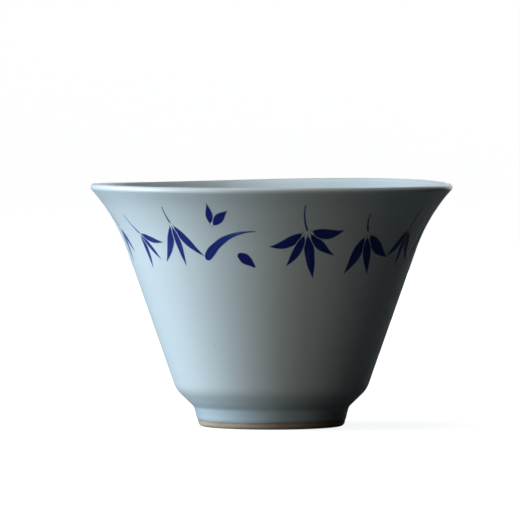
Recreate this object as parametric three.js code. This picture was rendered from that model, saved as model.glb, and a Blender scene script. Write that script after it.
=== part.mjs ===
// A flared porcelain teacup on a turned foot ring, glazed inside and out, with a band of
// cobalt brushwork under the lip: bamboo sprigs, arched reeds and short dabs.
//
// Millimetres and degrees, +Z up. The origin is the middle of the ring that the cup stands on.
// A bearing is measured round the cup from the front (-Y) towards the right (+X).

import * as THREE from "three";

// ---------------------------------------------------------------- driving sizes

// The glazed outline, from the lip down.
const CUP_HEIGHT = 60.3; // the surface it stands on to the crown of the lip
const LIP_RADIUS = 45; // the widest point of the glazed lip
const LIP_THICKNESS = 1.8; // glaze to glaze, just below the rounded edge
const LIP_LEAN = 42; // how far the wall leans out from upright at the lip
const FLARE_RADIUS = 43.5; // of the curve that turns the wall out into the lip
const WALL_LEAN = 19.3;
const WALL_TAPER = 2; // the inside leans this much more, so the wall thickens downwards
const SHOULDER_RADIUS = 7; // where the wall turns in under the cup
const UNDERCUT_LEAN = 46; // of the cone between the shoulder and the foot
const UNDERCUT_WIDTH = 4.5; // how far the foot is set in from the shoulder's corner
const CREASE_RADIUS = 2; // of the glaze pooled where the foot meets the cup
const FLOOR_HEIGHT = 7.2; // the glazed floor inside
const FLOOR_CORNER_RADIUS = 10;

// The foot.
const FOOT_HEIGHT = 4.8; // the crease above the surface it stands on
const FOOT_LEAN = 15;
const FOOT_WIDTH = 2.2; // the ring's thickness, clay only
const FOOT_CORNER_WIDTH = 0.93; // of the rounded corner between the flat land and the outside
const FOOT_CORNER_HEIGHT = 1.2;
const WELL_BEVEL_WIDTH = 0.27; // of the small bevel between the land and the well
const WELL_BEVEL_HEIGHT = 0.4;
const BARE_FOOT_HEIGHT = 1.7; // the glaze was wiped off below this
const WELL_DEPTH = 3.4; // the hollow inside the foot ring
const WELL_LEAN = 10; // the ring's inner wall draws in as it rises
const WELL_CORNER_RADIUS = 0.9;
const WELL_BARE_HEIGHT = 1.3; // bare clay inside the ring, up from the table

// Coats and clearances.
const GLAZE_THICKNESS = 0.25;
const FIRED_JOINT = 0.05; // between two pieces that fuse in the kiln
const INK_THICKNESS = 0.1;

// The lip isn't quite level: it lifts and dips by this much at the back.
const LIP_WARP = 0.5;
const WARP_REACH = 16; // how far down the warp is felt

// The painted band, laid out along a line round the cup for a wall of this radius. On a wider or
// narrower wall every stroke grows or shrinks with it.
const BAND_DROP = 10.3; // the line, down from the crown of the lip
const BAND_RADIUS = 38.63;

// A sprig's leaves spread from one joint, at a bearing and a rise over the line, and point the way
// that "aims" says: 0 is towards the right, 90 is up.
const LEAF_START = 0.64; // how far from its joint a leaf starts, in leaf widths
const TWIG_START = 0.2;
const TWIG_WIDTH = 0.42;
const SPRIGS = [
  { bearing: -77, rise: 0, aims: -70, leaves: 2, fan: 34, reach: 8, weight: 1.4, twig: 4.5 },
  { bearing: -59, rise: -1.4, aims: -48, leaves: 3, fan: 34, reach: 8.4, weight: 1.4, twig: 5.5 },
  { bearing: -39, rise: 1.4, aims: -82, leaves: 3, fan: 34, reach: 10.4, weight: 1.9, twig: 3.5 },
  { bearing: -22.5, rise: 0.4, aims: 62, leaves: 2, fan: 46, reach: 5.6, weight: 1.9, twig: 0 },
  { bearing: 13, rise: -0.4, aims: -78, leaves: 5, fan: 39, reach: 10, weight: 2.4, twig: 6 },
  { bearing: 38, rise: -0.8, aims: -74, leaves: 3, fan: 38, reach: 10, weight: 2.7, twig: 4 },
  { bearing: 62.5, rise: -0.2, aims: -98, leaves: 3, fan: 35, reach: 8.8, weight: 1.8, twig: 5 },
  { bearing: 81, rise: 1, aims: -95, leaves: 2, fan: 36, reach: 9, weight: 1.8, twig: 3 },
  { bearing: 136, rise: -0.4, aims: -84, leaves: 3, fan: 38, reach: 9.4, weight: 2, twig: 5.5 },
  { bearing: 160, rise: 0.4, aims: -70, leaves: 2, fan: 36, reach: 8.5, weight: 1.6, twig: 3.5 },
  { bearing: 182, rise: -0.6, aims: -100, leaves: 3, fan: 38, reach: 9.8, weight: 2.3, twig: 5 },
  { bearing: 233, rise: -0.2, aims: -76, leaves: 3, fan: 39, reach: 9.4, weight: 2, twig: 5.5 },
  { bearing: 259, rise: 0.4, aims: -98, leaves: 2, fan: 34, reach: 8, weight: 1.6, twig: 3.5 },
];
// A reed is one long stroke that arches upwards and thins to nothing.
const REEDS = [
  { bearing: -26, rise: -7, aims: 26, reach: 15, weight: 1.7 },
  { bearing: 98, rise: -6.6, aims: 24, reach: 15, weight: 1.6 },
  { bearing: 198, rise: -6.8, aims: 27, reach: 14.6, weight: 1.6 },
];
// A dab is the brush laid down and lifted.
const DABS = [
  { bearing: -13, rise: -6.2, aims: -38, reach: 4.6, weight: 2.2 },
  { bearing: 110, rise: -6.2, aims: -35, reach: 4.2, weight: 2 },
  { bearing: 210, rise: -6.4, aims: -40, reach: 4.4, weight: 2 },
];

// How finely curved surfaces are divided.
const ROUND_STEPS = 48;
const STROKE_STEPS = 8;

// ---------------------------------------------------------------- the turned outlines

const radians = THREE.MathUtils.degToRad;

// The direction that a turned surface faces where it leans out by this many degrees:
// 0 faces outwards, -90 faces up and -180 faces the axis.
const facing = (lean) => new THREE.Vector2(Math.cos(radians(lean)), -Math.sin(radians(lean)));

// How far a fillet starts from the corner that it rounds.
const fillet = (radius, leanA, leanB) => radius * Math.tan(radians(Math.abs(leanA - leanB) / 2));

// Walks along the outline of a glazed surface. Each stop keeps its place and the lean there, so
// the clay and the back of the glaze can be offset from it exactly.
class Outline {
  constructor(r, z, lean) {
    this.stops = [{ place: new THREE.Vector2(r, z), lean }];
  }
  get last() {
    return this.stops[this.stops.length - 1];
  }
  // Turns about a fixed centre: a positive radius bulges and a negative one hollows.
  bend(radius, lean, steps) {
    const start = this.last;
    const centre = start.place.clone().addScaledVector(facing(start.lean), -radius);
    for (let i = 1; i <= steps; i++) {
      const here = THREE.MathUtils.lerp(start.lean, lean, i / steps);
      this.stops.push({ place: centre.clone().addScaledVector(facing(here), radius), lean: here });
    }
    return this;
  }
  // Runs straight to a height.
  straightTo(z) {
    const { place, lean } = this.last;
    const r = place.x + (z - place.y) * Math.tan(radians(lean));
    this.stops.push({ place: new THREE.Vector2(r, z), lean });
    return this;
  }
  // The same outline, sunk below its surface.
  sunk(depth) {
    return this.stops.map(({ place, lean }) => place.clone().addScaledVector(facing(lean), -depth));
  }
}

const CLAY_DEPTH = GLAZE_THICKNESS + FIRED_JOINT;
const LIP_EDGE_RADIUS = LIP_THICKNESS / 2;
const CROWN_RADIUS = LIP_RADIUS - LIP_EDGE_RADIUS;
const INNER_LEAN = WALL_LEAN + WALL_TAPER;

// From the crown of the lip, down the outside of the cup, to the end of the glaze on the foot.
const shoulderCorner = FOOT_HEIGHT + UNDERCUT_WIDTH / Math.tan(radians(UNDERCUT_LEAN));
const shoulderCut = fillet(SHOULDER_RADIUS, WALL_LEAN, UNDERCUT_LEAN) * Math.cos(radians(WALL_LEAN));
const creaseCut = fillet(CREASE_RADIUS, UNDERCUT_LEAN, FOOT_LEAN) * Math.cos(radians(UNDERCUT_LEAN));
const outside = new Outline(CROWN_RADIUS, CUP_HEIGHT, -90)
  .bend(LIP_EDGE_RADIUS, LIP_LEAN, 4)
  .bend(-FLARE_RADIUS, WALL_LEAN, 6)
  .straightTo(shoulderCorner + shoulderCut)
  .bend(SHOULDER_RADIUS, UNDERCUT_LEAN, 4)
  .straightTo(FOOT_HEIGHT + creaseCut)
  .bend(-CREASE_RADIUS, FOOT_LEAN, 2)
  .straightTo(BARE_FOOT_HEIGHT);

// From the crown of the lip, down the inside of the cup, to the middle of the floor.
const inside = new Outline(CROWN_RADIUS, CUP_HEIGHT, -90)
  .bend(LIP_EDGE_RADIUS, LIP_LEAN - 180, 3)
  .bend(FLARE_RADIUS + LIP_THICKNESS, INNER_LEAN - 180, 5)
  .straightTo(FLOOR_HEIGHT + FLOOR_CORNER_RADIUS * (1 - Math.sin(radians(INNER_LEAN))))
  .bend(-FLOOR_CORNER_RADIUS, -90, 5);

// The foot's faces, as radii at a height.
const footEnd = outside.last.place;
const footRadius = (z) => footEnd.x + (z - BARE_FOOT_HEIGHT) * Math.tan(radians(FOOT_LEAN));
const wellRadius = (z) => footRadius(0) - FOOT_WIDTH - z * Math.tan(radians(WELL_LEAN));
const clayFootRadius = (z) => footRadius(z) - CLAY_DEPTH / Math.cos(radians(FOOT_LEAN));
const CLAY_FLOOR = WELL_DEPTH + CLAY_DEPTH; // the underside of the clay floor

// ---------------------------------------------------------------- shaping

// How far the lip is out of level at a bearing and a height.
function warp(bearing, z) {
  const felt = THREE.MathUtils.clamp((z - CUP_HEIGHT + WARP_REACH) / WARP_REACH, 0, 1);
  const behind = (1 - Math.cos(bearing)) / 2;
  return -LIP_WARP * felt * felt * behind * Math.sin(2 * bearing);
}

// Turns a closed outline about the Z axis, then lets the lip warp.
function turned(outline) {
  const geometry = new THREE.LatheGeometry(outline, ROUND_STEPS).rotateX(Math.PI / 2);
  const places = geometry.getAttribute("position");
  for (let i = 0; i < places.count; i++) {
    const bearing = Math.atan2(places.getX(i), -places.getY(i));
    places.setZ(i, places.getZ(i) + warp(bearing, places.getZ(i)));
  }
  return geometry;
}

// The radius and the lean of the glazed outside at a height in the painted band.
const flareTop = outside.stops[4];
const flareCentre = flareTop.place.clone().addScaledVector(facing(LIP_LEAN), FLARE_RADIUS);
const flareFoot = flareCentre.clone().addScaledVector(facing(WALL_LEAN), -FLARE_RADIUS);
function wallAt(z) {
  if (z <= flareFoot.y) {
    return { r: flareFoot.x - (flareFoot.y - z) * Math.tan(radians(WALL_LEAN)), lean: WALL_LEAN };
  }
  const lean = THREE.MathUtils.radToDeg(Math.asin((z - flareCentre.y) / FLARE_RADIUS));
  return { r: flareCentre.x - FLARE_RADIUS * Math.cos(radians(lean)), lean };
}

// A point of the band's flat drawing, laid on the glazed wall and lifted off it.
const bandLine = CUP_HEIGHT - BAND_DROP;
const bandScale = wallAt(bandLine).r / BAND_RADIUS;
function onWall(across, rise, lift, groupBearing) {
  const z = bandLine + rise * bandScale;
  const wall = wallAt(z);
  const bearing = (across * bandScale) / wall.r;
  const out = facing(wall.lean).multiplyScalar(lift).add(new THREE.Vector2(wall.r, z));
  const height = out.y + warp(bearing + groupBearing, z);
  return new THREE.Vector3(out.x * Math.sin(bearing), -out.x * Math.cos(bearing), height);
}

// How wide a stroke is along its length, from 0 to 1, as a share of its full width.
const swell = (along, start, end, middle) =>
  start * (1 - along) ** 3 + end * along ** 3 + Math.sin(Math.PI * along ** middle);
const WIDTHS = {
  leaf: (along) => swell(along, 0.16, 0.1, 0.78),
  twig: (along) => 1 - 0.45 * along,
  reed: (along) => 0.55 * swell(along, 0.9, 0.1, 0.45) + 0.5 * (1 - along),
  dab: (along) => swell(along, 0.45, 0.3, 0.9),
};

// One stroke of the brush: a thin strip that follows a curved line over the wall. It starts at
// (across, rise), aims one way and bows to its left by a share of its length.
function stroke(kind, across, rise, aims, reach, weight, bow, groupBearing) {
  const geometry = new THREE.BoxGeometry(1, 1, 1, STROKE_STEPS, 1, 1);
  const places = geometry.getAttribute("position");
  const ahead = new THREE.Vector2(Math.cos(radians(aims)), Math.sin(radians(aims)));
  const left = new THREE.Vector2(-ahead.y, ahead.x);
  for (let i = 0; i < places.count; i++) {
    const along = places.getX(i) + 0.5;
    const side = places.getY(i) * weight * WIDTHS[kind](along);
    const lift = FIRED_JOINT + (places.getZ(i) + 0.5) * INK_THICKNESS;
    const bowed = 4 * bow * reach * along * (1 - along);
    const here = new THREE.Vector2(across, rise)
      .addScaledVector(ahead, along * reach)
      .addScaledVector(left, bowed + side);
    const place = onWall(here.x, here.y, lift, groupBearing);
    places.setXYZ(i, place.x, place.y, place.z);
  }
  return geometry;
}

// ---------------------------------------------------------------- materials

const clay = new THREE.MeshStandardMaterial({ color: 0xe9e1d3, roughness: 0.85, metalness: 0 });
const bareClay = new THREE.MeshStandardMaterial({ color: 0x9b7f63, roughness: 0.9, metalness: 0 });
const glaze = new THREE.MeshStandardMaterial({ color: 0xc9dadd, roughness: 0.22, metalness: 0 });
const cobalt = new THREE.MeshStandardMaterial({ color: 0x14197a, roughness: 0.25, metalness: 0 });

// ---------------------------------------------------------------- pieces

function piece(name, geometry, material) {
  const mesh = new THREE.Mesh(geometry, material);
  mesh.name = name;
  return mesh;
}

// The fired clay of the wall and floor, from the flat joint with the foot up to the lip.
function porcelainBowl() {
  const outer = outside.sunk(CLAY_DEPTH).filter((p) => p.y > CLAY_FLOOR);
  const inner = inside.sunk(CLAY_DEPTH).slice(1);
  const outline = [
    new THREE.Vector2(0, CLAY_FLOOR),
    new THREE.Vector2(clayFootRadius(CLAY_FLOOR), CLAY_FLOOR),
    ...outer.reverse(),
    ...inner,
    new THREE.Vector2(0, FLOOR_HEIGHT - CLAY_DEPTH),
  ];
  return piece("porcelain_bowl", turned(outline), clay);
}

// A quarter of an ellipse from the land's end on the table up to where the foot's side starts.
function quarterRound(landEnd, top, steps) {
  return Array.from({ length: steps }, (_, i) => {
    const turn = (Math.PI / 2) * ((i + 1) / steps);
    const r = landEnd + (top.x - landEnd) * Math.sin(turn);
    return new THREE.Vector2(r, top.y * (1 - Math.cos(turn)));
  });
}

// The ring of clay that the cup stands on. Its lowest part carries no glaze, and swells out to
// meet the glaze's surface.
function footRing() {
  const top = CLAY_FLOOR - FIRED_JOINT;
  const ledge = BARE_FOOT_HEIGHT - FIRED_JOINT;
  const wellLedge = WELL_BARE_HEIGHT - FIRED_JOINT;
  const behindBaseGlaze = (z) => wellRadius(z) + CLAY_DEPTH / Math.cos(radians(WELL_LEAN));
  const landEnd = footRadius(0) - FOOT_CORNER_WIDTH;
  const cornerTop = new THREE.Vector2(footRadius(FOOT_CORNER_HEIGHT), FOOT_CORNER_HEIGHT);
  const outline = [
    new THREE.Vector2(wellRadius(0) + WELL_BEVEL_WIDTH, 0),
    new THREE.Vector2(landEnd, 0),
    ...quarterRound(landEnd, cornerTop, 3),
    new THREE.Vector2(footRadius(ledge), ledge),
    new THREE.Vector2(clayFootRadius(ledge), ledge),
    new THREE.Vector2(clayFootRadius(top), top),
    new THREE.Vector2(behindBaseGlaze(top), top),
    new THREE.Vector2(behindBaseGlaze(wellLedge), wellLedge),
    new THREE.Vector2(wellRadius(wellLedge), wellLedge),
    new THREE.Vector2(wellRadius(WELL_BEVEL_HEIGHT), WELL_BEVEL_HEIGHT),
  ];
  outline.push(outline[0].clone());
  return piece("foot_ring", turned(outline), bareClay);
}

// The coat from the crown of the lip, down the outside and over the foot, to the bare clay.
function outsideGlaze() {
  const face = outside.sunk(0).reverse();
  const back = outside.sunk(GLAZE_THICKNESS);
  back[back.length - 1].y = BARE_FOOT_HEIGHT;
  return piece("outside_glaze", turned([...face, ...back, face[0].clone()]), glaze);
}

// The coat from the crown of the lip down the inside and over the floor.
function insideGlaze() {
  const face = inside.sunk(0);
  const back = inside.sunk(GLAZE_THICKNESS).reverse();
  const outline = [
    new THREE.Vector2(0, FLOOR_HEIGHT - GLAZE_THICKNESS),
    ...back,
    ...face,
    new THREE.Vector2(0, FLOOR_HEIGHT),
  ];
  return piece("inside_glaze", turned(outline), glaze);
}

// The coat in the hollow of the foot: over the cup's underside and down the ring's inner wall.
function baseGlaze() {
  const ceiling = WELL_DEPTH;
  const face = new Outline(wellRadius(WELL_BARE_HEIGHT), WELL_BARE_HEIGHT, -180 - WELL_LEAN)
    .straightTo(ceiling - WELL_CORNER_RADIUS * (1 - Math.sin(radians(WELL_LEAN))))
    .bend(-WELL_CORNER_RADIUS, -270, 3);
  const behind = (z) => wellRadius(z) + GLAZE_THICKNESS / Math.cos(radians(WELL_LEAN));
  const back = ceiling + GLAZE_THICKNESS;
  const outline = [
    new THREE.Vector2(0, ceiling),
    ...face.sunk(0).reverse(),
    new THREE.Vector2(behind(WELL_BARE_HEIGHT), WELL_BARE_HEIGHT),
    new THREE.Vector2(behind(back), back),
    new THREE.Vector2(0, back),
  ];
  return piece("base_glaze", turned(outline), glaze);
}

// A group that carries strokes round to a bearing.
function atBearing(degrees, ...strokes) {
  const group = new THREE.Group();
  group.rotation.z = radians(degrees);
  group.add(...strokes);
  return group;
}

// Leaves that spread from one joint, on a twig that runs back from it.
function sprig({ bearing, rise, aims, leaves, fan, reach, weight, twig }, index) {
  const name = `sprig_${String(index + 1).padStart(2, "0")}`;
  const turn = radians(bearing);
  // Where a stroke starts that leads one way from the joint, and that way.
  const from = (gap, way) => {
    const off = gap * weight;
    return [off * Math.cos(radians(way)), rise + off * Math.sin(radians(way)), way];
  };
  const strokes = [];
  for (let i = 0; i < leaves; i++) {
    const spread = i - (leaves - 1) / 2;
    const way = aims + spread * fan;
    // Outer leaves are shorter and bow away from the middle one.
    const length = reach * (1 - 0.11 * Math.abs(spread)) * (i % 2 ? 0.88 : 1);
    const width = weight * (i % 2 ? 0.86 : 1);
    const shape = stroke("leaf", ...from(LEAF_START, way), length, width, -0.05 * spread, turn);
    strokes.push(piece(`${name}_leaf_${i + 1}`, shape, cobalt));
  }
  if (twig > 0) {
    const start = from(TWIG_START, aims + 180);
    const shape = stroke("twig", ...start, twig, TWIG_WIDTH, 0.06, turn);
    strokes.push(piece(`${name}_twig`, shape, cobalt));
  }
  return atBearing(bearing, ...strokes);
}

// One stroke by itself: a reed or a dab.
function loneStroke(kind, bow, { bearing, rise, aims, reach, weight }, index) {
  const shape = stroke(kind, 0, rise, aims, reach, weight, bow, radians(bearing));
  return atBearing(bearing, piece(`${kind}_${index + 1}`, shape, cobalt));
}

// ---------------------------------------------------------------- the cup

const cup = new THREE.Group();
cup.name = "teacup";
cup.add(porcelainBowl(), footRing(), outsideGlaze(), insideGlaze(), baseGlaze());
cup.add(...SPRIGS.map(sprig));
cup.add(...REEDS.map((reed, i) => loneStroke("reed", 0.12, reed, i)));
cup.add(...DABS.map((dab, i) => loneStroke("dab", 0.04, dab, i)));

export default cup;
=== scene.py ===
"""A flared porcelain teacup with cobalt bamboo painted on its wall, laid out as a Blender add-on.

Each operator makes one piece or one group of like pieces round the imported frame, and the panel in
the 3D view's sidebar lists them. Lengths are in metres and angles in radians. The cup's axis is Z
and a bearing is measured round it from the front (-Y) towards the right (+X).
"""

import math

import bpy
import numpy as np
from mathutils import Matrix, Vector, noise


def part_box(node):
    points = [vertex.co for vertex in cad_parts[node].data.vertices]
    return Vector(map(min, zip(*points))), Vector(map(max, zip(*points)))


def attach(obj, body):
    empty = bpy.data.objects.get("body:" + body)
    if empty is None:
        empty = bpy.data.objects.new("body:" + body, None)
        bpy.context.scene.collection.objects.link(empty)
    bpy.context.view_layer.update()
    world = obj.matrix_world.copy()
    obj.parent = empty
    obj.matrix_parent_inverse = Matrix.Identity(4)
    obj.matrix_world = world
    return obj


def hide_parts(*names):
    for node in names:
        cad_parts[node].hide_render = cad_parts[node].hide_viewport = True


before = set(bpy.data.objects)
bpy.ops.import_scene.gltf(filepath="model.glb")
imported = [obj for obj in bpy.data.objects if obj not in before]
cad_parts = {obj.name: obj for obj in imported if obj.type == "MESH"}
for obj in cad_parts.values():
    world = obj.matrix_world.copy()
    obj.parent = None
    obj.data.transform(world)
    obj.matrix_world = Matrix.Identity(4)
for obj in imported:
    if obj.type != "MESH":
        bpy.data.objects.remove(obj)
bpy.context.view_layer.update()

bl_info = {
    "name": "Porcelain teacup",
    "version": (1, 0, 0),
    "blender": (4, 5, 0),
    "location": "3D View > Sidebar > Teacup",
    "description": "Makes a glazed porcelain teacup with bamboo brushwork, and its studio",
    "category": "Add Mesh",
}

MM = 0.001
BODY = "root"


# ---------------------------------------------------------------- what a user can change


def length(name, description, default):
    return bpy.props.FloatProperty(
        name=name, description=description, default=default, min=0.0, precision=5, unit="LENGTH"
    )


def lean(name, description, degrees):
    return bpy.props.FloatProperty(
        name=name, description=description, default=math.radians(degrees), subtype="ANGLE"
    )


def share(name, description, default):
    return bpy.props.FloatProperty(
        name=name, description=description, default=default, min=0.0, max=1.0, subtype="FACTOR"
    )


def tint(name, description, default):
    return bpy.props.FloatVectorProperty(
        name=name, description=description, default=default, min=0.0, max=1.0, subtype="COLOR"
    )


def watts(name, description, default):
    return bpy.props.FloatProperty(
        name=name, description=description, default=default, min=0.0, unit="POWER"
    )


def count(name, description, default):
    return bpy.props.IntProperty(name=name, description=description, default=default, min=3)


def box_radius(node):
    low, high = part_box(node)
    return (high.x - low.x) / 2


class TeacupShape(bpy.types.PropertyGroup):
    """The sizes of the turned cup and of its glaze"""

    lip_radius: length("Lip radius", "Widest point of the lip", box_radius("outside_glaze"))
    height: length("Height", "From the table to the crown of the lip", 60.3 * MM)
    lip_thickness: length("Lip thickness", "Glaze to glaze just below the lip", 1.8 * MM)
    lip_lean: lean("Lip lean", "How far the wall leans out at the lip", 42)
    flare_radius: length("Flare radius", "Curve that turns the wall out", 43.5 * MM)
    wall_lean: lean("Wall lean", "How far the straight wall leans out", 19.3)
    wall_taper: lean("Wall taper", "How much more the inside leans", 2)
    shoulder_radius: length("Shoulder radius", "Where the wall turns in", 7 * MM)
    undercut_lean: lean("Undercut lean", "Lean of the cone above the foot", 46)
    undercut_width: length("Undercut width", "How far the foot is set in", 4.5 * MM)
    crease_radius: length("Crease radius", "Glaze pooled above the foot", 2 * MM)
    floor_height: length("Floor height", "Glazed floor above the table", 7.2 * MM)
    floor_corner: length("Floor corner radius", "Where the inside meets its floor", 10 * MM)
    foot_height: length("Foot height", "From the table to the crease", 4.8 * MM)
    foot_lean: lean("Foot lean", "How far the foot leans out", 15)
    foot_width: length("Foot width", "Thickness of the foot ring", 2.2 * MM)
    foot_corner_width: length("Foot corner width", "Rounded corner outside", 0.93 * MM)
    foot_corner_height: length("Foot corner height", "Rounded corner outside", 1.2 * MM)
    well_bevel_width: length("Well bevel width", "Small bevel inside the ring", 0.27 * MM)
    well_bevel_height: length("Well bevel height", "Small bevel inside the ring", 0.4 * MM)
    bare_height: length("Bare foot height", "The glaze ends this high on the foot", 1.7 * MM)
    well_depth: length("Well depth", "Hollow under the cup", 3.4 * MM)
    well_lean: lean("Well lean", "How the ring's inner wall draws in", 10)
    well_corner: length("Well corner radius", "Where the well meets its ceiling", 0.9 * MM)
    well_bare_height: length("Bare height inside", "The glaze ends this high in the well", 1.3 * MM)
    glaze_thickness: length("Glaze thickness", "Depth of the glaze", 0.25 * MM)
    fired_joint: length("Joint", "Gap between pieces that fuse in the kiln", 0.05 * MM)
    lip_warp: length("Lip warp", "How far the back of the lip is out of level", 0.5 * MM)
    warp_reach: length("Warp reach", "How far down the warp is felt", 16 * MM)
    ring_marks: length("Throwing marks", "Depth of the potter's faint rings", 0.012 * MM)
    sway: length("Sway", "How far the wall strays from a true circle", 0.05 * MM)
    round_steps: count("Steps round", "Divisions round the cup", 288)


class TeacupFinish(bpy.types.PropertyGroup):
    """The colours and textures of the clay, the glaze and the cobalt"""

    glaze: tint("Glaze", "Glaze of ordinary depth", (0.70, 0.765, 0.775))
    # The pooled glaze colour also paints shade in the crease and on the foot, under the cup's
    # overhang.
    pooled_glaze_and_shade: tint("Pooled glaze", "Glaze where it lies thick", (0.47, 0.56, 0.60))
    thin_glaze: tint("Thin glaze", "Glaze that ran thin at the lip", (0.83, 0.84, 0.82))
    speck: tint("Speck", "Iron specks in the glaze", (0.24, 0.17, 0.10))
    clay: tint("Clay", "White fired clay", (0.80, 0.77, 0.71))
    bare_clay: tint("Bare clay", "Unglazed clay of the foot", (0.50, 0.39, 0.29))
    flashed_clay: tint("Flashed clay", "Iron-red edge beside the glaze", (0.28, 0.15, 0.075))
    full_cobalt: tint("Full cobalt", "Cobalt from a loaded brush", (0.002, 0.008, 0.185))
    washed_cobalt: tint("Washed cobalt", "Cobalt from a watery brush", (0.006, 0.060, 0.340))
    glaze_roughness: share("Glaze roughness", "0 is a mirror and 1 is chalk", 0.34)
    clay_roughness: share("Clay roughness", "0 is a mirror and 1 is chalk", 0.86)
    bleed: length("Bleed", "How far the cobalt spreads into the glaze", 0.2 * MM)
    ink_lift: length("Ink lift", "How far a stroke stands off the glaze", 0.012 * MM)
    brush_steps: count("Steps along a stroke", "Divisions along each stroke", 44)


class TeacupStudio(bpy.types.PropertyGroup):
    """The camera and the lights"""

    distance: length("Camera distance", "From the cup's axis to the camera", 1.8)
    camera_height: length("Camera height", "Above the table", 107 * MM)
    view_width: length("View width", "What the camera takes in at the cup", 129.2 * MM)
    aim_height: length("Aim height", "Height at the middle of the view", 41.25 * MM)
    aim_left: length("Aim left", "The middle of the view is this far left of the axis", 2.86 * MM)
    key_power: watts("Window light", "Power of the large light at the left", 7.8)
    spill_power: watts("Window spill", "Power of the softer light at the front left", 1.62)
    top_power: watts("Top light", "Power of the light over the cup's mouth", 2.2)
    back_power: watts("Back light", "Power of the light behind the cup", 1.5)
    table: share("Table", "How much light the table throws back up", 0.07)
    room: bpy.props.FloatProperty(
        name="Room light", description="Strength of the even light from the room",
        default=0.010, min=0.0
    )


# ---------------------------------------------------------------- the cup's outlines


def facing(lean_out):
    """The direction, as (out, up), that a surface faces where it leans out by an angle."""
    return np.array([math.cos(lean_out), -math.sin(lean_out)])


def fillet(radius, lean_a, lean_b):
    """How far a fillet starts from the corner that it rounds."""
    return radius * math.tan(abs(lean_a - lean_b) / 2)


class Outline:
    """Walks along a glazed outline. Each stop is (radius, height, lean)."""

    finest_turn = math.radians(5)
    finest_step = 0.5 * MM

    def __init__(self, radius, height, lean_out):
        self.stops = [(radius, height, lean_out)]

    def bend(self, radius, lean_out):
        """Turns about a fixed centre: a positive radius bulges and a negative one hollows."""
        r, z, start = self.stops[-1]
        centre = np.array([r, z]) - radius * facing(start)
        sweep = abs(lean_out - start)
        steps = math.ceil(max(sweep / self.finest_turn, sweep * abs(radius) / self.finest_step))
        for here in np.linspace(start, lean_out, steps + 1)[1:]:
            self.stops.append((*(centre + radius * facing(here)), here))
        return self

    def straight_to(self, height):
        r, z, lean_out = self.stops[-1]
        steps = math.ceil(abs(height - z) / self.finest_step)
        for up in np.linspace(z, height, steps + 1)[1:]:
            self.stops.append((r + (up - z) * math.tan(lean_out), up, lean_out))
        return self

    def sunk(self, depth):
        """The same outline below its surface, as (radius, height) rows."""
        return np.array([np.array(s[:2]) - depth * facing(s[2]) for s in self.stops])


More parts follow.
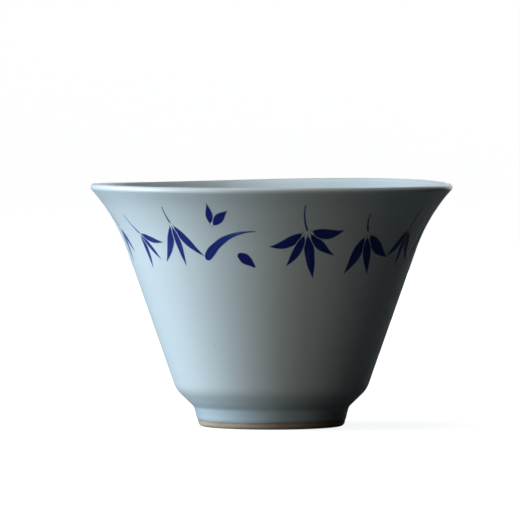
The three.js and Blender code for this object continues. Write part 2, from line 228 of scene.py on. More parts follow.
class Cup:
    """The whole cup's outlines, worked out from the sizes in the panel."""

    def __init__(self, shape):
        self.shape = shape
        self.clay_depth = shape.glaze_thickness + shape.fired_joint
        edge = shape.lip_thickness / 2
        crown = shape.lip_radius - edge
        corner = shape.foot_height + shape.undercut_width / math.tan(shape.undercut_lean)
        shoulder_cut = fillet(shape.shoulder_radius, shape.wall_lean, shape.undercut_lean)
        crease_cut = fillet(shape.crease_radius, shape.undercut_lean, shape.foot_lean)
        inner_lean = shape.wall_lean + shape.wall_taper
        self.outside = (
            Outline(crown, shape.height, -math.pi / 2)
            .bend(edge, shape.lip_lean)
            .bend(-shape.flare_radius, shape.wall_lean)
            .straight_to(corner + shoulder_cut * math.cos(shape.wall_lean))
            .bend(shape.shoulder_radius, shape.undercut_lean)
            .straight_to(shape.foot_height + crease_cut * math.cos(shape.undercut_lean))
            .bend(-shape.crease_radius, shape.foot_lean)
            .straight_to(shape.bare_height)
        )
        self.inside = (
            Outline(crown, shape.height, -math.pi / 2)
            .bend(edge, shape.lip_lean - math.pi)
            .bend(shape.flare_radius + shape.lip_thickness, inner_lean - math.pi)
            .straight_to(shape.floor_height + shape.floor_corner * (1 - math.sin(inner_lean)))
            .bend(-shape.floor_corner, -math.pi / 2)
        )
        # The flare's circle, for finding the painted wall.
        lip = Outline(crown, shape.height, -math.pi / 2).bend(edge, shape.lip_lean).stops[-1]
        self.flare_centre = np.array(lip[:2]) + shape.flare_radius * facing(shape.lip_lean)
        self.flare_foot = self.flare_centre - shape.flare_radius * facing(shape.wall_lean)
        self.clay_floor = shape.well_depth + self.clay_depth

    def foot_radius(self, z):
        r, bottom, _ = self.outside.stops[-1]
        return r + (z - bottom) * math.tan(self.shape.foot_lean)

    def clay_foot_radius(self, z):
        return self.foot_radius(z) - self.clay_depth / math.cos(self.shape.foot_lean)

    def well_radius(self, z):
        return self.foot_radius(0) - self.shape.foot_width - z * math.tan(self.shape.well_lean)

    def wall_at(self, z):
        """The glazed wall's radius and lean at heights in the painted band."""
        shape = self.shape
        z = np.asarray(z, float)
        rise = np.clip((z - self.flare_centre[1]) / shape.flare_radius, -1, 1)
        lean_out = np.where(z > self.flare_foot[1], np.arcsin(rise), shape.wall_lean)
        curved = self.flare_centre[0] - shape.flare_radius * np.cos(lean_out)
        straight = self.flare_foot[0] - (self.flare_foot[1] - z) * math.tan(shape.wall_lean)
        return np.where(z > self.flare_foot[1], curved, straight), lean_out

    def warp(self, bearing, z):
        """How far the lip is out of level."""
        reach = self.shape.warp_reach
        felt = np.clip((z - self.shape.height + reach) / reach, 0, 1) ** 2
        behind = (1 - np.cos(bearing)) / 2
        return -self.shape.lip_warp * felt * behind * np.sin(2 * bearing)

    def stray(self, bearing, z):
        """How far the thrown wall strays outwards: the potter's rings, and a slow sway."""
        shape = self.shape
        up = z / shape.height
        fade = 8 * MM  # the foot and the lip are trimmed true
        pitch = 0.62 * MM
        window = np.clip((z - shape.foot_height) / fade, 0, 1)
        window = window * np.clip((shape.height - z) / fade, 0, 1)
        rings = np.sin(z / pitch + bearing) * (0.7 + 0.3 * np.sin(2 * bearing + 40 * up))
        swaying = np.sin(2 * bearing + 1.1 + 2.2 * up) + 0.6 * np.sin(3 * bearing - 0.7 - 3.1 * up)
        return window * (shape.ring_marks * rings + shape.sway * swaying)

    def glaze_line(self, bearing, z):
        """How far the wiped edge of the glaze wanders up and down the foot."""
        reach, depth = MM, 0.06 * MM
        near = np.clip(1 - np.abs(z - self.shape.bare_height) / reach, 0, 1)
        wander = np.sin(3 * bearing + 0.4) + 0.7 * np.sin(7 * bearing) + 0.4 * np.sin(17 * bearing)
        return depth * near * wander


OUTER, INNER, STILL = 1.0, -1.0, 0.0  # which of the cup's faces a row of an outline follows


def rows(points, side):
    """Outline points with the face of the cup that they follow."""
    points = np.atleast_2d(np.asarray(points, float))
    return np.column_stack([points, np.full(len(points), side)])


def in_place(cup, outline, bearing):
    """Turns outline rows to their places round the cup, with its sway and warp."""
    r, z, side = (outline[:, k][:, None] for k in range(3))
    b = np.broadcast_to(bearing, (len(outline), len(bearing)))
    z = np.broadcast_to(z, b.shape)
    radius = r + np.where(side == STILL, 0, cup.stray(b, z) * (r > 0))
    height = z + cup.warp(b, z) + np.where(side == OUTER, cup.glaze_line(b, z), 0)
    return np.stack([radius * np.sin(b), -radius * np.cos(b), height], axis=-1)


# ---------------------------------------------------------------- making meshes


def numbers(mesh, name, values):
    """Keeps a number at each of a mesh's points for its material to read."""
    attribute = mesh.attributes.new(name, "FLOAT", "POINT")
    attribute.data.foreach_set("value", np.asarray(values, np.float32).ravel())


def piece(name, points, faces, material, creased):
    """Makes a smooth closed piece that rides on the cup. Creased holds a number for each point:
    an edge between two points of one number above 0 stays sharp."""
    mesh = bpy.data.meshes.new(name)
    mesh.from_pydata(points.tolist(), [], faces)
    mesh.validate()
    mesh.calc_loop_triangles()
    corners = np.zeros(len(mesh.loop_triangles) * 3, int)
    mesh.loop_triangles.foreach_get("vertices", corners)
    a, b, c = (points[corners[k::3]] for k in range(3))
    volume = np.einsum("ij,ij", a, np.cross(b, c))
    if volume < 0:
        mesh.flip_normals()
    mesh.shade_smooth()
    ends = np.zeros(len(mesh.edges) * 2, int)
    mesh.edges.foreach_get("vertices", ends)
    ends = creased[ends.reshape(-1, 2)]
    sharp = mesh.attributes.new("sharp_edge", "BOOLEAN", "EDGE")
    sharp.data.foreach_set("value", (ends[:, 0] == ends[:, 1]) & (ends[:, 0] > 0))
    mesh.materials.append(material)
    made = bpy.data.objects.new(name, mesh)
    bpy.context.scene.collection.objects.link(made)
    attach(made, BODY)
    return made


def turn(cup, name, outline, material, creases=()):
    """Turns an outline, given as rows, into a closed piece. It either closes on itself or starts
    and ends on the axis. Creases are the rows whose rings stay sharp."""
    steps = cup.shape.round_steps
    bearing = np.arange(steps) * (2 * math.pi / steps)
    grid = in_place(cup, outline, bearing)
    last = len(outline) - 1
    poled = outline[0, 0] == 0 and outline[last, 0] == 0
    points, ring = [], []
    creased = []
    for i in range(len(outline)):
        lone = poled and i in (0, last)
        ring.append([len(points)] * steps if lone else range(len(points), len(points) + steps))
        points.extend(grid[i, :1] if lone else grid[i])
        creased.extend([i + 1 if i in creases else 0] * (1 if lone else steps))
    faces = []
    for i in range(last if poled else last + 1):
        low, high = ring[i], ring[(i + 1) % (last + 1)]
        for j in range(steps):
            k = (j + 1) % steps
            corners = [low[j], low[k], high[k], high[j]]
            faces.append(list(dict.fromkeys(corners)))
    made = piece(name, np.array(points), faces, material, np.array(creased))
    return made, np.array(points)


# ---------------------------------------------------------------- materials


class Wire:
    """An output socket that takes part in sums. Every sum adds a Math node."""

    def __init__(self, recipe, socket):
        self.recipe = recipe
        self.socket = socket

    def math(self, operation, *values):
        return self.recipe.node("ShaderNodeMath", {"operation": operation}, values)

    def __add__(self, other):
        return self.math("ADD", self, other)

    def __sub__(self, other):
        return self.math("SUBTRACT", self, other)

    def __rsub__(self, other):
        return self.math("SUBTRACT", other, self)

    def __mul__(self, other):
        return self.math("MULTIPLY", self, other)

    __radd__ = __add__


class Recipe:
    """A material, written node by node."""

    def __init__(self, name):
        self.material = bpy.data.materials.new(name)
        self.material.use_nodes = True
        self.tree = self.material.node_tree
        self.tree.nodes.clear()

    def node(self, kind, settings=None, inputs=(), output=0):
        """Adds a node: its settings first, then its sockets, by name or in order."""
        made = self.tree.nodes.new(kind)
        for key, value in (settings or {}).items():
            setattr(made, key, value)
        named = inputs.items() if isinstance(inputs, dict) else enumerate(inputs)
        for key, value in named:
            if isinstance(value, Wire):
                self.tree.links.new(value.socket, made.inputs[key])
            else:
                made.inputs[key].default_value = value
        return Wire(self, made.outputs[output]) if made.outputs else None

    def place(self, stretch=(1, 1, 1)):
        """The point on the piece, in metres, stretched along each axis."""
        here = self.node("ShaderNodeTexCoord", output="Object")
        return self.node("ShaderNodeVectorMath", {"operation": "MULTIPLY"}, [here, stretch])

    def kept(self, name):
        """A number kept at the mesh's points."""
        settings = {"attribute_type": "GEOMETRY", "attribute_name": name}
        return self.node("ShaderNodeAttribute", settings, output="Fac")

    def noise(self, where, size, detail=2.0, roughness=0.5):
        """Smooth noise from 0 to 1 whose patches are about one size across."""
        inputs = {"Vector": where, "Scale": 1 / size, "Detail": detail, "Roughness": roughness}
        return self.node("ShaderNodeTexNoise", {"noise_dimensions": "3D"}, inputs, "Fac")

    def grains(self, where, size):
        """Scattered grains about one size apart: the distance to the nearest one's middle."""
        inputs = {"Vector": where, "Scale": 1 / size}
        return self.node("ShaderNodeTexVoronoi", inputs=inputs, output="Distance")

    def step(self, value, low, high):
        """Rises smoothly from 0 to 1 as value goes from low to high."""
        settings = {"interpolation_type": "SMOOTHSTEP"}
        return self.node("ShaderNodeMapRange", settings, [value, low, high])

    def blend(self, factor, first, second):
        """A colour between two."""
        first, second = (c if isinstance(c, Wire) else (*c, 1) for c in (first, second))
        inputs = {"Factor": factor, 6: first, 7: second}
        return self.node("ShaderNodeMix", {"data_type": "RGBA"}, inputs, 2)

    def bump(self, height, depth, strength):
        """A normal for a surface whose height, from 0 to 1, is this deep."""
        inputs = {"Strength": strength, "Distance": depth, "Height": height}
        return self.node("ShaderNodeBump", inputs=inputs, output="Normal")

    def finish(self, **sockets):
        """Ends the recipe in one Principled surface. Its sockets are named with underscores."""
        inputs = {key.replace("_", " "): value for key, value in sockets.items()}
        shader = self.node("ShaderNodeBsdfPrincipled", {"distribution": "MULTI_GGX"}, inputs)
        self.node("ShaderNodeOutputMaterial", inputs={"Surface": shader})
        return self.material


GLAZE_SKIN = 0.35  # how much of the clearer skin shows on plain glaze


def glaze_parts(recipe, finish):
    """The glaze's colour, roughness and normal at a point."""
    place = recipe.place()
    depth = recipe.kept("glaze_depth_and_shade")
    clouds = recipe.noise(place, 19 * MM, 3, 0.55)
    runs = recipe.noise(recipe.place((1, 1, 0.16)), 2.6 * MM, 2, 0.5)
    depth = depth + (clouds - 0.5) * 0.30 + (runs - 0.5) * 0.12
    # The pooled colour also paints shade in the crease and on the foot.
    colour = recipe.blend(recipe.step(depth, 0.0, 1.0), finish.glaze, finish.pooled_glaze_and_shade)
    colour = recipe.blend(recipe.step(depth, 0.0, -1.0), colour, finish.thin_glaze)
    # Iron specks: few, small and soft.
    cell = recipe.grains(place, 4.2 * MM)
    luck = recipe.noise(place, 7 * MM, 0)
    speck = recipe.step(cell, 0.045, 0.02) * recipe.step(luck, 0.56, 0.62)
    colour = recipe.blend(speck * 0.5, colour, finish.speck)
    breath = recipe.noise(place, 6 * MM, 4, 0.6)
    roughness = finish.glaze_roughness + (breath - 0.5) * 0.10 + speck * 0.1
    peel = recipe.noise(place, 1.3 * MM, 1) * 0.7 + recipe.noise(place, 0.35 * MM, 1) * 0.3
    return colour, roughness, recipe.bump(peel, 0.004 * MM, 0.6)


def glossed(recipe, colour, roughness, normal, skin):
    """A glazed surface: the glaze's body, under a share of a thin clearer skin."""
    return recipe.finish(
        Base_Color=colour,
        Roughness=roughness,
        Normal=normal,
        IOR=1.5,
        Coat_Weight=skin,
        Coat_Roughness=0.22,
        Coat_IOR=1.45,
    )


def glaze_material(finish):
    """Milky blue-white glaze, satin from long soaking in the kiln."""
    recipe = Recipe("blue_white_glaze")
    colour, roughness, normal = glaze_parts(recipe, finish)
    return glossed(recipe, colour, roughness, normal, GLAZE_SKIN)


def cobalt_material(finish):
    """Cobalt that melted into the glaze: dark where the brush was full, streaky where it ran
    dry, and soft at its edges."""
    recipe = Recipe("brushed_cobalt")
    glaze, roughness, normal = glaze_parts(recipe, finish)
    place = recipe.place()
    along, across = recipe.kept("brush_along"), recipe.kept("brush_across")
    # The brush's hairs leave fine streaks that run a long way along the stroke.
    streaks = recipe.node("ShaderNodeCombineXYZ", inputs=[along * 0.18, across * 3.2, along * 0.02])
    hairs = recipe.noise(streaks, 1.0, 2, 0.6)
    grain = recipe.noise(place, 0.22 * MM, 2, 0.6)
    load = recipe.kept("brush_load")
    full = load + (hairs - 0.5) * 0.9 + (grain - 0.5) * 0.25
    cobalt = recipe.blend(recipe.step(full, 0.25, 0.85), finish.washed_cobalt, finish.full_cobalt)
    edge = recipe.kept("brush_edge") + (grain - 0.5) * 0.10 + (hairs - 0.5) * 0.06
    inked = recipe.step(edge, -0.17, 0.12)
    # Glaze shows between the hairs where the brush ran dry.
    dry = recipe.step(load * 0.9 + hairs * 0.55, 0.62, 0.40) * 0.75
    inked = inked * (1 - dry)
    colour = recipe.blend(inked, glaze, cobalt)
    # Cobalt takes the shine off the glaze above it.
    skin = GLAZE_SKIN - inked * GLAZE_SKIN
    return glossed(recipe, colour, roughness + inked * 0.05, normal, skin)


def bare_clay_material(finish):
    """Unglazed clay, toasted by the kiln, with a rusty edge where it meets the glaze."""
    recipe = Recipe("bare_foot_clay")
    place = recipe.place()
    patches = recipe.noise(place, 5 * MM, 4, 0.6)
    grit = recipe.grains(place, 0.30 * MM)
    fine = recipe.noise(place, 0.12 * MM, 3, 0.65)
    burnt = recipe.kept("flash") + (patches - 0.5) * 0.9 + (fine - 0.5) * 0.25
    colour = recipe.blend(recipe.step(burnt, 0.1, 1.0), finish.bare_clay, finish.flashed_clay)
    colour = recipe.blend(recipe.step(grit, 0.30, 0.05) * 0.35, colour, finish.clay)
    dark = recipe.grains(recipe.place((1.1, 0.9, 1.3)), 0.9 * MM)
    colour = recipe.blend(recipe.step(dark, 0.16, 0.06) * 0.6, colour, finish.speck)
    height = fine * 0.5 + recipe.step(grit, 0.0, 0.5) * 0.5
    return recipe.finish(
        Base_Color=colour,
        Roughness=finish.clay_roughness - fine * 0.12,
        Normal=recipe.bump(height, 0.05 * MM, 0.8),
        IOR=1.45,
    )


def clay_material(finish):
    """The white clay under the glaze."""
    recipe = Recipe("white_clay")
    place = recipe.place()
    fine = recipe.noise(place, 0.3 * MM, 3, 0.6)
    patches = recipe.noise(place, 9 * MM, 2)
    colour = recipe.blend(recipe.step(patches, 0.3, 0.8) * 0.5, finish.clay, finish.thin_glaze)
    return recipe.finish(
        Base_Color=colour,
        Roughness=finish.clay_roughness - fine * 0.1,
        Normal=recipe.bump(fine, 0.02 * MM, 0.6),
        IOR=1.45,
    )


def shared_material(name, make, finish):
    """A material that several operators use, made once."""
    return bpy.data.materials.get(name) or make(finish)


# ---------------------------------------------------------------- the turned pieces


BACK_STRIDE = 3  # a coat's hidden back keeps every third row
CORNER_STEPS = 8  # along each rounded corner of the foot ring's land


def bell(value, middle, width):
    return np.exp(-(((value - middle) / width) ** 2))


def glaze_depth_and_shade(cup, points):
    """How thick the glaze lies, with painted shade in the crease and on the foot: 0 is ordinary, 1
    is pooled or shaded, and -1 is thin and white.
    """
    shape = cup.shape
    z = points[:, 2]
    radius = np.hypot(points[:, 0], points[:, 1])
    beyond_well = radius > 17 * MM
    near_foot = radius < 26 * MM
    outside = radius > cup.wall_at(z)[0] - 0.6 * MM
    below_crown = shape.height + cup.warp(np.arctan2(points[:, 0], -points[:, 1]), z) - z
    # Painted shade: the crease is darkened with the pooled colour, partly for the glaze that
    # gathers there and partly for the shade that falls in it.
    crease_pool_and_shade = 0.6 * bell(z, shape.foot_height + 0.35 * MM, MM) * near_foot
    # Painted shade: the glazed foot below the crease is darkened with the pooled colour, for the
    # shade under the cup's overhang.
    foot = 0.75 * np.clip((shape.foot_height - z) / MM, 0, 1) * (beyond_well & near_foot)
    roll = 0.35 * bell(z, shape.bare_height + 0.15 * MM, 0.35 * MM) * beyond_well
    floor_edge = 0.55 * bell(z, shape.floor_height, 3 * MM) * bell(radius, 17 * MM, 6 * MM)
    under_lip = 0.28 * bell(below_crown, 3.2 * MM, 2.2 * MM) * outside
    thin = np.clip(1 - below_crown / (1.3 * MM), 0, 1) ** 0.8
    return crease_pool_and_shade + foot + roll + floor_edge + under_lip - thin


def bowl_outline(cup):
    outer = cup.outside.sunk(cup.clay_depth)
    outer = outer[outer[:, 1] > cup.clay_floor][::-1]
    inner = cup.inside.sunk(cup.clay_depth)[1:]
    bottom = [[0, cup.clay_floor], [cup.clay_foot_radius(cup.clay_floor), cup.clay_floor]]
    middle = [[0, cup.shape.floor_height - cup.clay_depth]]
    return np.vstack([rows(bottom, STILL), rows(outer, OUTER), rows(inner, INNER),
                      rows(middle, STILL)])


def outside_outline(cup):
    """The coat's face, with a small roll at its wiped edge, and its back."""
    bottom, thickness = cup.shape.bare_height, cup.shape.glaze_thickness
    face = cup.outside.sunk(0)[::-1].copy()
    above = face[:, 1] - bottom
    roll = 0.05 * MM * bell(above, 0.35 * MM, 0.25 * MM)
    rounded_under = 0.10 * MM * bell(above, 0, 0.12 * MM)
    face[:, 0] += roll - rounded_under
    back = cup.outside.sunk(thickness)[::BACK_STRIDE]
    back = back[back[:, 1] > bottom + 0.3 * MM]
    foot = [[cup.foot_radius(bottom) - thickness * 1.04, bottom]]  # 1.04 allows for its lean
    outline = np.vstack([rows(face, OUTER), rows(back, OUTER), rows(foot, OUTER)])
    return outline, {0, len(face) - 1, len(face), len(outline) - 1}


def inside_outline(cup):
    face = cup.inside.sunk(0)
    back = cup.inside.sunk(cup.shape.glaze_thickness)[::BACK_STRIDE][::-1]
    start = [[0, cup.shape.floor_height - cup.shape.glaze_thickness]]
    end = [[0, cup.shape.floor_height]]
    outline = np.vstack([rows(start, STILL), rows(back, INNER), rows(face, INNER),
                         rows(end, STILL)])
    return outline, {len(back), len(back) + 1}


def base_outline(cup):
    shape = cup.shape
    start = Outline(cup.well_radius(shape.well_bare_height), shape.well_bare_height,
                    -math.pi - shape.well_lean)
    corner = shape.well_depth - shape.well_corner * (1 - math.sin(shape.well_lean))
    face = start.straight_to(corner).bend(-shape.well_corner, -1.5 * math.pi).sunk(0)[::-1]
    back = shape.well_depth + shape.glaze_thickness
    behind = shape.glaze_thickness / math.cos(shape.well_lean)
    # The middle of the well is a little domed, as a turned foot is.
    dome, dome_steps = 0.10 * MM, 24
    spread = np.linspace(0, face[0, 0], dome_steps)[1:-1]
    ceiling = [[r, shape.well_depth + dome * (1 - (r / face[0, 0]) ** 2)] for r in spread]
    outline = np.vstack([
        rows([[0, shape.well_depth + dome]], STILL),
        rows(ceiling, STILL),
        rows(face, STILL),
        rows([[cup.well_radius(shape.well_bare_height) + behind, shape.well_bare_height],
              [cup.well_radius(back) + behind, back], [0, back]], STILL),
    ])
    ends = 1 + len(ceiling) + len(face)
    return outline, {ends - 1, ends, ends + 1}


def ring_outline(cup):
    """The foot ring, with rounded corners beside its flat land and a ledge for each glaze."""
    shape = cup.shape
    top = cup.clay_floor - shape.fired_joint
    ledge = shape.bare_height - shape.fired_joint
    well_ledge = shape.well_bare_height - shape.fired_joint
    inner = cup.well_radius(0) + shape.well_bevel_width
    outer = cup.foot_radius(0) - shape.foot_corner_width
    corner, bevel = shape.foot_corner_height, shape.well_bevel_height

    def round_corner(land, side, height):
        """A quarter of an ellipse from the land up to the ring's side."""
        turnings = np.linspace(0, math.pi / 2, CORNER_STEPS + 1)[1:]
        return [[land + (side - land) * math.sin(t), height * (1 - math.cos(t))]
                for t in turnings]

    def behind_base_glaze(z):
        return cup.well_radius(z) + cup.clay_depth / math.cos(shape.well_lean)

    setback = 0.06 * MM  # the wiped clay lies a little below the glaze
    side = np.linspace(corner, ledge, 5)[1:]
    well_side = np.linspace(well_ledge, bevel, 5)[:-1]
    outline = np.vstack([
        rows([[inner, 0], [outer, 0]], STILL),
        rows(round_corner(outer, cup.foot_radius(corner) - setback, corner), OUTER),
        rows([[cup.foot_radius(z) - setback, z] for z in side], OUTER),
        rows([[cup.clay_foot_radius(ledge), ledge], [cup.clay_foot_radius(top), top]], OUTER),
        rows([[behind_base_glaze(top), top], [behind_base_glaze(well_ledge), well_ledge]], STILL),
        rows([[cup.well_radius(z), z] for z in well_side], STILL),
        rows(round_corner(inner, cup.well_radius(bevel), bevel)[::-1], STILL),
    ])
    ledge_row = 2 + CORNER_STEPS + len(side)
    return outline, set(range(ledge_row - 1, ledge_row + 5))


# ---------------------------------------------------------------- the brushwork

STROKE_COLUMNS = 17  # points across a stroke
WOBBLE = 0.12  # how much a stroke's width strays, as a share
WOBBLE_LENGTH = 2.6 * MM
LAYER = 0.004 * MM  # crossing strokes lie on one another
LAYERS = 3


def smooth_through(knots, values, at):
    """A smooth curve through rows of values at rising knots, read at other places. It runs
    straight on past its ends."""
    slopes = np.gradient(values, knots, axis=0)
    k = np.clip(np.searchsorted(knots, at) - 1, 0, len(knots) - 2)
    gap = (knots[k + 1] - knots[k])[:, None]
    t = np.clip((at - knots[k])[:, None] / gap, 0, 1)
    curve = ((1 + 2 * t) * values[k] + t * gap * slopes[k]) * (1 - t) ** 2
    curve += ((3 - 2 * t) * values[k + 1] - (1 - t) * gap * slopes[k + 1]) * t**2
    past = (at - np.clip(at, knots[0], knots[-1]))[:, None]
    return curve + past * np.where(past < 0, slopes[0], slopes[-1])


def brush_line(cup, node):
    """Reads a painted solid of the frame. Gives the middle of the stroke and half of its width
    at even stations, heel first, laid flat as (distance round the wall, height), and the bearing
    and the radius that the distances are measured from."""
    corners = {tuple(np.round(v.co, 7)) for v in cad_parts[node].data.vertices}
    corners = np.array(sorted(corners))
    bearing = np.arctan2(corners[:, 0], -corners[:, 1])
    centre = math.atan2(np.sin(bearing).mean(), np.cos(bearing).mean())
    bearing = (bearing - centre + math.pi) % (2 * math.pi) - math.pi
    out = np.hypot(corners[:, 0], corners[:, 1])
    up = corners[:, 2] - cup.warp(bearing + centre, corners[:, 2])
    z, lift = up.copy(), np.zeros(len(up))
    for _ in range(4):
        radius, lean_out = cup.wall_at(z)
        lift = (out - radius) / np.cos(lean_out)
        z = up + lift * np.sin(lean_out)
    upper = lift > (lift.min() + lift.max()) / 2
    around = cup.wall_at(z.mean())[0]
    flat = np.column_stack([bearing * around, z])[upper]
    middle = flat.mean(0)
    axis = np.linalg.svd(flat - middle)[2][0]
    flat = flat[np.argsort((flat - middle) @ axis)]
    pairs = flat.reshape(-1, 2, 2)
    sideways = np.array([-axis[1], axis[0]])
    swap = (pairs[:, 0] - pairs[:, 1]) @ sideways < 0
    pairs[swap] = pairs[swap][:, ::-1]
    if np.linalg.norm(pairs[-1, 0] - pairs[-1, 1]) > np.linalg.norm(pairs[0, 0] - pairs[0, 1]):
        pairs = pairs[::-1]
    half = np.linalg.norm(pairs[:, 0] - pairs[:, 1], axis=1) / 2
    return pairs.mean(1), half, centre, float(around)


def brush_outline(line, half, heel, tip, bleed, steps, seed):
    """The painted stroke laid flat. Gives, for each station along it, its distance along the
    stroke, its middle, the way ahead, and half of its width with the bleed."""
    run = np.concatenate([[0], np.cumsum(np.linalg.norm(np.diff(line, axis=0), axis=1))])
    start, end = -heel * half[0], run[-1] + tip * half[-1]
    # Stations crowd towards the ends, where the stroke is round.
    crowded = (1 - np.cos(np.linspace(0, math.pi, steps + 1))) / 2
    s = start - bleed + (end - start + 2 * bleed) * crowded
    middle = smooth_through(run, line, s)
    nudge = 0.1 * MM
    ahead = smooth_through(run, line, s + nudge) - smooth_through(run, line, s - nudge)
    ahead /= np.linalg.norm(ahead, axis=1)[:, None]
    # The square of the width is what runs smoothly, so that the ends come out round.
    knots = np.concatenate([[start], run, [end]])
    square = np.concatenate([[0], half**2, [0]])[:, None]
    wobble = np.array([noise.noise(seed + Vector((v / WOBBLE_LENGTH, 0, 0))) for v in s])
    width = np.sqrt(np.clip(smooth_through(knots, square, s)[:, 0], 0, None))
    width *= (1 + WOBBLE * wobble) * ((s > start) & (s < end))
    past = np.clip(np.maximum(start - s, s - end) / bleed, 0, 1)
    return s, middle, ahead, width + bleed * np.sqrt(np.clip(1 - past**2, 0.02, 1))


def brush_stroke(cup, finish, node, index, heel, tip, load, material):
    """Lays one stroke of the brush over the wall in place of its plain solid. Heel and tip say
    how far its ends reach past the solid, in half widths, and load gives the ink along it."""
    line, half, centre, around = brush_line(cup, node)
    bleed = finish.bleed
    seed = Vector((index * 7.31, 0.0, 0.0))
    steps = finish.brush_steps
    s, middle, ahead, width = brush_outline(line, half, heel, tip, bleed, steps, seed)
    # Columns crowd towards the sides, where the sheet dips into the glaze.
    across = np.sin(np.linspace(-math.pi / 2, math.pi / 2, STROKE_COLUMNS))
    sideways = np.column_stack([-ahead[:, 1], ahead[:, 0]])
    flat = middle[:, None] + sideways[:, None] * (width[:, None] * across)[..., None]
    n, m = flat.shape[:2]
    upper = np.arange(n * m).reshape(n, m)
    lower = upper + n * m
    border = [*upper[:, 0], *upper[-1, 1:], *upper[-2::-1, -1], *upper[0, -2:0:-1]]

    def laid(lift, turned=0.0, raised=0.0):
        """The flat places on the wall, lifted off it, and nudged round and up it if asked."""
        bearing = (flat[..., 0] + turned).ravel() / around + centre
        z = flat[..., 1].ravel() + raised
        radius, lean_out = cup.wall_at(z)
        r = radius + cup.stray(bearing, z) + lift * np.cos(lean_out)
        up = z - lift * np.sin(lean_out)
        up = up + cup.warp(bearing, up)
        return np.column_stack([r * np.sin(bearing), -r * np.cos(bearing), up])

    lift = np.full(n * m, finish.ink_lift + LAYER * (index % LAYERS))
    lift[border] = -finish.ink_lift
    underside = np.full(n * m, -4 * finish.ink_lift)
    points = np.vstack([laid(lift), laid(underside)])
    faces = []
    for grid, order in ((upper, (0, 1, 2, 3)), (lower, (3, 2, 1, 0))):
        quads = np.stack([grid[:-1, :-1], grid[1:, :-1], grid[1:, 1:], grid[:-1, 1:]], -1)
        faces += quads.reshape(-1, 4)[:, order].tolist()
    for a, b in zip(border, border[1:] + border[:1]):
        faces.append([int(b), int(a), int(a) + n * m, int(b) + n * m])
    creased = np.zeros(len(points), int)
    creased[border] = 1
    made = piece(f"{node}_brushed", points, faces, material, creased)
    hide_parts(node)
    # The stroke shades as the wall that it lies on.
    nudge = 0.02 * MM
    round_it = laid(lift, turned=nudge) - laid(lift, turned=-nudge)
    up_it = laid(lift, raised=nudge) - laid(lift, raised=-nudge)
    normals = np.cross(round_it, up_it)
    normals /= np.linalg.norm(normals, axis=1)[:, None]
    mesh = made.data
    mesh.normals_split_custom_set_from_vertices(np.vstack([normals, -normals]).tolist())
    margin = width[:, None] * (1 - np.abs(across))
    margin = np.minimum(margin, np.minimum(s - s[0], s[-1] - s)[:, None]) - bleed
    along = (s - s[0]) / (s[-1] - s[0])
    numbers(mesh, "brush_edge", np.tile(margin.ravel() / MM, 2))
    numbers(mesh, "brush_load", np.tile(np.repeat(load(along), m), 2))
    apart = index * 11  # so that no two strokes have the same streaks
    numbers(mesh, "brush_along", np.tile(np.repeat(s / MM + apart, m), 2))
    numbers(mesh, "brush_across", np.tile((width[:, None] * across).ravel() / MM, 2))
    numbers(mesh, "glaze_depth_and_shade", glaze_depth_and_shade(cup, points))


def leaf_load(share_along):
    """A leaf starts wet, thins a little as the brush lifts, and ends with a dark flick."""
    return 0.95 - 0.25 * np.sin(math.pi * share_along) ** 2 - 0.15 * share_along**3


def twig_load(share_along):
    return 0.85 - 0.35 * share_along


def reed_load(share_along):
    """A reed starts loaded and runs watery and then dry towards its point."""
    return 0.80 - 0.55 * share_along**0.8


def dab_load(share_along):
    return 0.98 - 0.12 * share_along


BRUSHES = {
    # kind: how far the heel and the tip reach past the solid, in half widths, and the ink
    "leaf": (4.0, 3.0, leaf_load),
    "twig": (2.2, 1.6, twig_load),
    "reed": (0.8, 3.0, reed_load),
    "dab": (0.4, 1.2, dab_load),
}


def paint(context, kinds):
    """Paints every stroke of some kinds that the frame holds."""
    shape, finish = context.scene.teacup_shape, context.scene.teacup_finish
    cup = Cup(shape)
    material = shared_material("brushed_cobalt", cobalt_material, finish)
    nodes = sorted(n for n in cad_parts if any(kind in n for kind in kinds))
    if not nodes:
        raise RuntimeError(f"the frame holds no strokes called {kinds}")
    for index, node in enumerate(nodes):
        kind = next(kind for kind in kinds if kind in node)
        heel, tip, load = BRUSHES[kind]
        brush_stroke(cup, finish, node, index, heel, tip, load, material)


# ---------------------------------------------------------------- operators


class TEACUP_OT_bowl(bpy.types.Operator):
    """Turn the white clay of the wall and floor, which the glaze covers"""

    bl_idname = "teacup.bowl"
    bl_label = "Clay Bowl"

    def execute(self, context):
        cup = Cup(context.scene.teacup_shape)
        material = shared_material("white_clay", clay_material, context.scene.teacup_finish)
        outline = bowl_outline(cup)
        made, _ = turn(cup, "clay_bowl", outline, material, {1})
        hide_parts("porcelain_bowl")
        return {"FINISHED"}


class TEACUP_OT_foot(bpy.types.Operator):
    """Turn the foot ring, with its bare, toasted edge"""

    bl_idname = "teacup.foot"
    bl_label = "Foot Ring"

    def execute(self, context):
        shape, finish = context.scene.teacup_shape, context.scene.teacup_finish
        cup = Cup(shape)
        material = shared_material("bare_foot_clay", bare_clay_material, finish)
        outline, creases = ring_outline(cup)
        made, points = turn(cup, "turned_foot", outline, material, creases)
        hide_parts("foot_ring")
        rust = bell(points[:, 2], shape.bare_height, 0.8 * MM)
        numbers(made.data, "flash", 0.5 * rust)
        return {"FINISHED"}


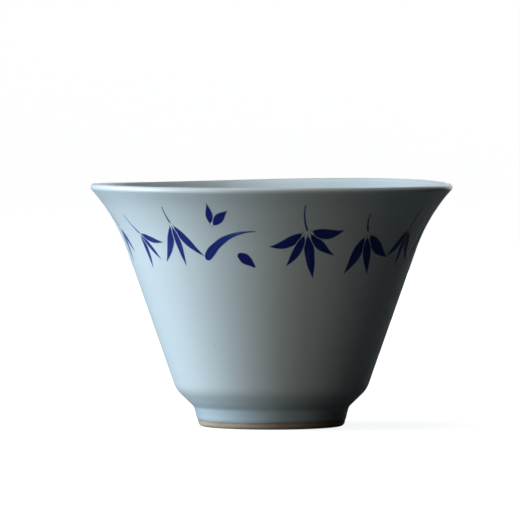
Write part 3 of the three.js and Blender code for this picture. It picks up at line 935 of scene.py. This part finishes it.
class TEACUP_OT_glaze(bpy.types.Operator):
    """Lay the three coats of glaze: outside, inside and in the well of the foot"""

    bl_idname = "teacup.glaze"
    bl_label = "Glaze"

    def execute(self, context):
        cup = Cup(context.scene.teacup_shape)
        finish = context.scene.teacup_finish
        material = shared_material("blue_white_glaze", glaze_material, finish)
        coats = {
            "outside_glaze": outside_outline(cup),
            "inside_glaze": inside_outline(cup),
            "base_glaze": base_outline(cup),
        }
        for node, (outline, creases) in coats.items():
            name = node.replace("glaze", "coat")
            made, points = turn(cup, name, outline, material, creases)
            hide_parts(node)
            numbers(made.data, "glaze_depth_and_shade", glaze_depth_and_shade(cup, points))
        return {"FINISHED"}


class TEACUP_OT_bamboo(bpy.types.Operator):
    """Paint the bamboo sprigs, leaf by leaf"""

    bl_idname = "teacup.bamboo"
    bl_label = "Bamboo Sprigs"

    def execute(self, context):
        paint(context, ("leaf", "twig"))
        return {"FINISHED"}


class TEACUP_OT_reeds(bpy.types.Operator):
    """Paint the arched reeds and the short dabs between the sprigs"""

    bl_idname = "teacup.reeds"
    bl_label = "Reeds and Dabs"

    def execute(self, context):
        paint(context, ("reed", "dab"))
        return {"FINISHED"}


def area_light(name, place, aim, size, power, colour):
    light = bpy.data.lights.new(name, "AREA")
    light.shape, light.size, light.size_y = "RECTANGLE", *size
    light.energy, light.color = power, colour
    made = bpy.data.objects.new(name, light)
    made.location = place
    made.rotation_euler = (Vector(aim) - Vector(place)).to_track_quat("-Z", "Y").to_euler()
    bpy.context.scene.collection.objects.link(made)


def stage_piece(name, points, faces, material):
    """Something round the cup that isn't part of it."""
    mesh = bpy.data.meshes.new(name)
    mesh.from_pydata(points, [], faces)
    mesh.shade_smooth()
    mesh.materials.append(material)
    made = bpy.data.objects.new(name, mesh)
    bpy.context.scene.collection.objects.link(made)
    return made


def cove():
    """A plain pale floor that sweeps up into walls and a ceiling all round. It is seen, and takes
    shadows, but leaves the cup's light alone."""
    radius, bend, rise, peak, steps = 3.0, 0.8, 4.0, 5.0, 64
    outline = [[r, 0.0] for r in (0.15, 0.5, 1.2, radius - bend)]
    for t in np.linspace(0, math.pi / 2, 9)[1:]:
        outline.append([radius - bend * (1 - math.sin(t)), bend * (1 - math.cos(t))])
    outline.append([radius, rise])
    turns = np.arange(steps) * (2 * math.pi / steps)
    points = [(r * math.sin(b), r * math.cos(b), z) for r, z in outline for b in turns]
    points += [(0, 0, 0), (0, 0, peak)]
    floor, top = len(points) - 2, len(points) - 1
    last = (len(outline) - 1) * steps
    faces = []
    for j in range(steps):
        k = (j + 1) % steps
        faces += [(floor, k, j), (last + j, last + k, top)]
        for low in range(0, last, steps):
            faces.append((low + j, low + k, low + steps + k, low + steps + j))
    recipe = Recipe("pale_paper")
    tooth = recipe.noise(recipe.place(), 3 * MM, 3)
    away = recipe.node("ShaderNodeVectorMath", {"operation": "LENGTH"}, [recipe.place()], "Value")
    # Painted shade: the cove glows a little dimmer near the cup, so that the cup's shadow shows on
    # it.
    glow = recipe.blend(recipe.step(away, 0.04, 0.30), (0.88, 0.885, 0.89), (0.995, 0.998, 1.0))
    material = recipe.finish(
        Base_Color=recipe.blend(tooth, (0.50, 0.50, 0.50), (0.54, 0.54, 0.54)),
        Roughness=0.9,
        Emission_Color=glow,
        Emission_Strength=0.985,
    )
    made = stage_piece("studio_cove", points, faces, material)
    made.visible_diffuse = made.visible_glossy = made.visible_shadow = False


def table(brightness):
    """The table top as the cup feels it: it throws a little of the light back up."""
    radius, steps = 0.6, 48
    turns = np.arange(steps) * (2 * math.pi / steps)
    points = [(radius * math.sin(b), radius * math.cos(b), -0.2 * MM) for b in turns]
    recipe = Recipe("table_top")
    grain = recipe.noise(recipe.place((8, 1, 1)), 20 * MM, 4)
    darker, lighter = 0.9 * brightness, 1.1 * brightness
    material = recipe.finish(
        Base_Color=recipe.blend(grain, (darker,) * 3, (lighter, lighter, 0.96 * lighter)),
        Roughness=0.8,
    )
    made = stage_piece("table_top", points, [tuple(range(steps))[::-1]], material)
    made.visible_camera = made.visible_shadow = False


class TEACUP_OT_studio(bpy.types.Operator):
    """Set up the pale cove, the soft lights and the camera"""

    bl_idname = "teacup.studio"
    bl_label = "Studio"

    def execute(self, context):
        scene, studio = context.scene, context.scene.teacup_studio
        cove()
        table(studio.table)
        middle = (0, 0, studio.aim_height)
        lights = {
            # name: place, size, power, colour
            "window": ((-0.65, 0.02, 0.14), (0.55, 0.60), studio.key_power, (0.70, 0.86, 1.0)),
            "spill": ((-0.58, -0.69, 0.25), (0.5, 0.5), studio.spill_power, (1.0, 0.94, 0.81)),
            "top": ((-0.05, -0.05, 0.96), (0.5, 0.5), studio.top_power, (0.77, 0.90, 1.0)),
            "back": ((0.22, 0.92, 0.25), (0.6, 0.6), studio.back_power, (0.90, 0.95, 1.0)),
        }
        for name, (place, size, power, colour) in lights.items():
            area_light(f"{name}_light", place, middle, size, power, colour)
        world = bpy.data.worlds.new("room")
        world.use_nodes = True
        sky = world.node_tree.nodes["Background"]
        sky.inputs["Color"].default_value = (1.0, 0.82, 0.68, 1)
        sky.inputs["Strength"].default_value = studio.room
        scene.world = world
        scene.view_settings.view_transform = "Standard"
        lens = bpy.data.cameras.new("camera")
        lens.lens = lens.sensor_width * studio.distance / studio.view_width
        lens.clip_start, lens.clip_end = 0.05, 20.0
        camera = bpy.data.objects.new("camera", lens)
        camera.location = (-studio.aim_left, -studio.distance, studio.camera_height)
        aim = Vector((-studio.aim_left, 0, studio.aim_height)) - camera.location
        camera.rotation_euler = aim.to_track_quat("-Z", "Y").to_euler()
        scene.collection.objects.link(camera)
        scene.camera = camera
        return {"FINISHED"}


MAKERS = (
    TEACUP_OT_bowl,
    TEACUP_OT_foot,
    TEACUP_OT_glaze,
    TEACUP_OT_bamboo,
    TEACUP_OT_reeds,
    TEACUP_OT_studio,
)


class TEACUP_PT_panel(bpy.types.Panel):
    """Lists the teacup's settings and the steps that make it"""

    bl_idname = "TEACUP_PT_panel"
    bl_label = "Porcelain Teacup"
    bl_space_type = "VIEW_3D"
    bl_region_type = "UI"
    bl_category = "Teacup"

    def draw(self, context):
        for title, group in (("Shape", "teacup_shape"), ("Finish", "teacup_finish"),
                             ("Studio", "teacup_studio")):
            box = self.layout.box()
            box.label(text=title)
            settings = getattr(context.scene, group)
            for name in settings.__annotations__:
                box.prop(settings, name)
        for maker in MAKERS:
            self.layout.operator(maker.bl_idname)


GROUPS = {
    "teacup_shape": TeacupShape,
    "teacup_finish": TeacupFinish,
    "teacup_studio": TeacupStudio,
}


def register():
    for cls in (*GROUPS.values(), *MAKERS, TEACUP_PT_panel):
        bpy.utils.register_class(cls)
    for name, group in GROUPS.items():
        setattr(bpy.types.Scene, name, bpy.props.PointerProperty(type=group))


def unregister():
    for name in GROUPS:
        delattr(bpy.types.Scene, name)
    for cls in reversed((*GROUPS.values(), *MAKERS, TEACUP_PT_panel)):
        bpy.utils.unregister_class(cls)


def main():
    register()
    bpy.ops.teacup.bowl()
    bpy.ops.teacup.foot()
    bpy.ops.teacup.glaze()
    bpy.ops.teacup.bamboo()
    bpy.ops.teacup.reeds()
    bpy.ops.teacup.studio()


if __name__ == "__main__":
    main()
